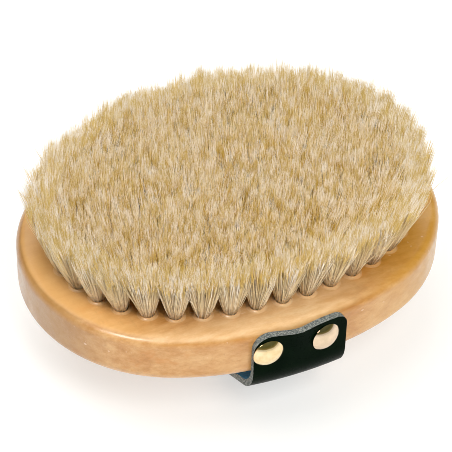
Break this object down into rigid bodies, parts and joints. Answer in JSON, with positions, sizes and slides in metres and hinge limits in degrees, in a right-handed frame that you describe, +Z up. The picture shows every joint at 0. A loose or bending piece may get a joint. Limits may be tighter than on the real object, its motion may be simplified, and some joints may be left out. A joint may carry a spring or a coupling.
{
  "type": "body dry brush",
  "caption": "Oval varnished wooden body brush with dense natural bristle tufts on its face and a nailed leather hand strap across its back.",
  "frame": {"origin": "on the ground, under the middle of the block, where the strap's flat middle rests", "axes": "+X along the block's length, +Y across it from one nailed strap end to the other, +Z up towards the bristle tips"},
  "size_m": [0.16, 0.132, 0.072],
  "materials": {
    "varnished_wood": "clear gloss varnish over light, fine-grained wood",
    "strap_leather": "smooth black leather, semi-gloss, with raw grey cut edges",
    "nail_brass": "polished brass, lightly scuffed",
    "bristle": "natural blond bristle, silky",
    "anchor_steel": "plain drawn wire"
  },
  "bodies": {
    "root": {"wood_block": "varnished_wood", "hand_strap": "strap_leather", "strap_nail_front_left": "nail_brass", "strap_nail_front_right": "nail_brass", "strap_nail_back_left": "nail_brass", "strap_nail_back_right": "nail_brass", "tufts_ring_1": "bristle", "tufts_ring_2": "bristle", "tufts_ring_3": "bristle", "tufts_ring_4": "bristle", "tufts_ring_5": "bristle", "tufts_middle_row": "bristle", "anchors_ring_1": "anchor_steel", "anchors_ring_2": "anchor_steel", "anchors_ring_3": "anchor_steel", "anchors_ring_4": "anchor_steel", "anchors_ring_5": "anchor_steel", "anchors_middle_row": "anchor_steel"}
  },
  "joints": []
}
